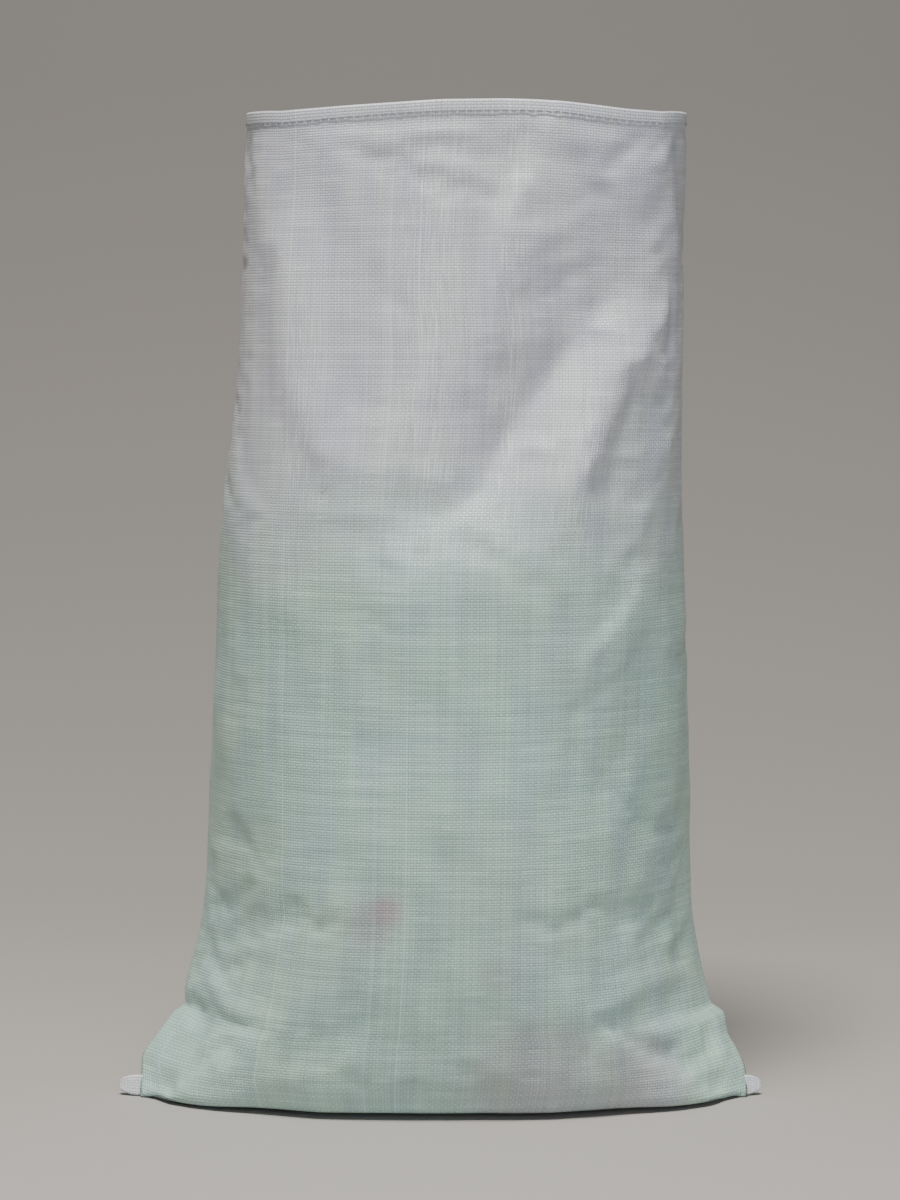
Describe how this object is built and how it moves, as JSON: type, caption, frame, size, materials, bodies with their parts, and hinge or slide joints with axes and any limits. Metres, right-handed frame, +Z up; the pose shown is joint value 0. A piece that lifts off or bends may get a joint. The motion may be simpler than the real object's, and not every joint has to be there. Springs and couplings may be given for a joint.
{
  "type": "open woven polypropylene sack, part filled",
  "caption": "Unprinted white woven polypropylene sack standing open on its sewn foot, with a hemmed mouth and loose light scraps in its lower part.",
  "frame": {"origin": "on the floor under the middle of the sack, midway between the two ears of its sewn foot", "axes": "+Z up to the open mouth, X from ear to ear along the sewn foot, -Y out of the front"},
  "size_m": [0.5385, 0.2976, 0.82],
  "materials": {
    "woven_cloth": "slightly glossy flat-tape weave",
    "scraps": "soft, crumpled",
    "thread": "matt sewing thread"
  },
  "bodies": {
    "root": {"sack": "woven_cloth", "contents": "scraps", "mouth_hem_thread": "thread", "bottom_seam_thread": "thread"}
  },
  "joints": []
}
